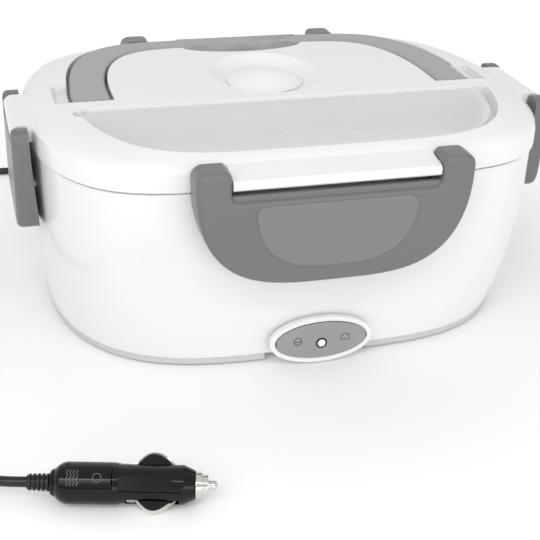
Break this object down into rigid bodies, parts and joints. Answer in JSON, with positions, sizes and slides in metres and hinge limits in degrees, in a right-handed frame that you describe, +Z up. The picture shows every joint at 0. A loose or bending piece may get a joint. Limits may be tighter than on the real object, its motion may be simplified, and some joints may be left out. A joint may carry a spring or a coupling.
{
  "type": "electric lunch box",
  "caption": "Oval heated lunch box with a steel container, a lift-off lid held by flip latches, a fold-down handle, a cutlery well and a 12 V lead with a car plug.",
  "frame": {"origin": "on the table under the middle of the box, at the underside of its feet", "axes": "+X to the right along the box's length, +Y to the back, +Z up; the lamp panel faces -Y"},
  "size_m": [0.2859, 0.3301, 0.1011],
  "materials": {
    "white_shell": "gloss",
    "base_grey": "satin",
    "grey_trim": "satin",
    "panel_grey": "matte",
    "inner_white": "satin",
    "clear_cover": "clear",
    "silicone": "matte",
    "steel": "brushed",
    "heater_alloy": "satin",
    "ceramic": "matte",
    "mica": "matte",
    "board": "satin",
    "lens": "clear",
    "wires": "matte",
    "dark_rubber": "matte",
    "black_plastic": "gloss",
    "bright_metal": "polished"
  },
  "bodies": {
    "housing": {"outer_housing": "white_shell", "base_cover": "base_grey", "feet": "dark_rubber", "base_screws": "steel", "inner_tub": "inner_white", "heater_plate": "heater_alloy", "ptc_heaters": "ceramic", "insulation_pad": "mica", "heater_clamp": "steel", "clamp_screws": "steel", "thermostat": "dark_rubber", "thermal_fuse": "ceramic", "wiring": "wires", "lamp_board": "board", "lamp_led": "lens", "lamp_lens": "lens", "lamp_bezel": "black_plastic", "lamp_panel": "panel_grey", "ac_inlet": "black_plastic", "ac_pins": "bright_metal", "dc_inlet": "black_plastic", "dc_pin": "bright_metal", "dc_connector": "black_plastic", "connector_relief": "dark_rubber", "lead_start": "dark_rubber", "lead_coil": "dark_rubber", "lead_tie": "dark_rubber", "lead_end": "dark_rubber", "plug_relief": "dark_rubber", "plug_body": "black_plastic", "plug_grip": "dark_rubber", "plug_fuse": "bright_metal", "tip_spring": "steel", "plug_collar": "bright_metal"},
    "container": {"food_container": "steel", "side_dish": "inner_white"},
    "lid": {"lid_shell": "white_shell", "lid_liner": "inner_white", "lid_seal": "silicone"},
    "vent_cap": {"vent_cap": "silicone"},
    "cutlery_cover": {"cutlery_cover": "clear_cover"},
    "handle": {"carry_handle": "grey_trim"},
    "latch_front": {"latch_front": "grey_trim"},
    "latch_back": {"latch_back": "grey_trim"},
    "latch_left": {"latch_left": "grey_trim"},
    "latch_right": {"latch_right": "grey_trim"},
    "plug_tip": {"plug_tip": "bright_metal"},
    "contact_upper": {"contact_upper": "bright_metal"},
    "contact_lower": {"contact_lower": "bright_metal"}
  },
  "joints": [
    {"name": "container_lift", "type": "slide", "parent": "housing", "child": "container", "axis": [0, 0, 1], "range_m": [0, 0.09]},
    {"name": "lid_lift", "type": "slide", "parent": "container", "child": "lid", "axis": [0, 0, 1], "range_m": [0, 0.1]},
    {"name": "vent_cap_pull", "type": "slide", "parent": "lid", "child": "vent_cap", "axis": [0, 0, 1], "range_m": [0, 0.008]},
    {"name": "cutlery_cover_lift", "type": "slide", "parent": "lid", "child": "cutlery_cover", "axis": [0, 0, 1], "range_m": [0, 0.05]},
    {"name": "handle_fold", "type": "hinge", "parent": "lid", "child": "handle", "pos_m": [0, -0.0055, 0.0959], "axis": [1, 0, 0], "range_deg": [0, 90]},
    {"name": "latch_front_flip", "type": "hinge", "parent": "lid", "child": "latch_front", "pos_m": [0, -0.0905, 0.091], "axis": [-1, 0, 0], "range_deg": [0, 110]},
    {"name": "latch_back_flip", "type": "hinge", "parent": "lid", "child": "latch_back", "pos_m": [0, 0.0905, 0.091], "axis": [1, 0, 0], "range_deg": [0, 110]},
    {"name": "latch_left_flip", "type": "hinge", "parent": "lid", "child": "latch_left", "pos_m": [-0.117, -0.006, 0.0922], "axis": [0, 1, 0], "range_deg": [0, 110]},
    {"name": "latch_right_flip", "type": "hinge", "parent": "lid", "child": "latch_right", "pos_m": [0.117, -0.006, 0.0922], "axis": [0, -1, 0], "range_deg": [0, 110]},
    {"name": "plug_tip_press", "type": "slide", "parent": "housing", "child": "plug_tip", "axis": [-0.9659, 0.2588, 0], "range_m": [0, 0.0025], "stiffness_N_per_m": 300, "deforming": ["tip_spring"]},
    {"name": "contact_upper_press", "type": "hinge", "parent": "housing", "child": "contact_upper", "pos_m": [-0.09374, -0.15214, 0.01132], "axis": [0.1593, 0.5947, -0.788], "range_deg": [0, 4], "stiffness_Nm_per_rad": 0.05},
    {"name": "contact_lower_press", "type": "hinge", "parent": "housing", "child": "contact_lower", "pos_m": [-0.09627, -0.16158, 0.00368], "axis": [-0.1593, -0.5947, 0.788], "range_deg": [0, 4], "stiffness_Nm_per_rad": 0.05}
  ]
}
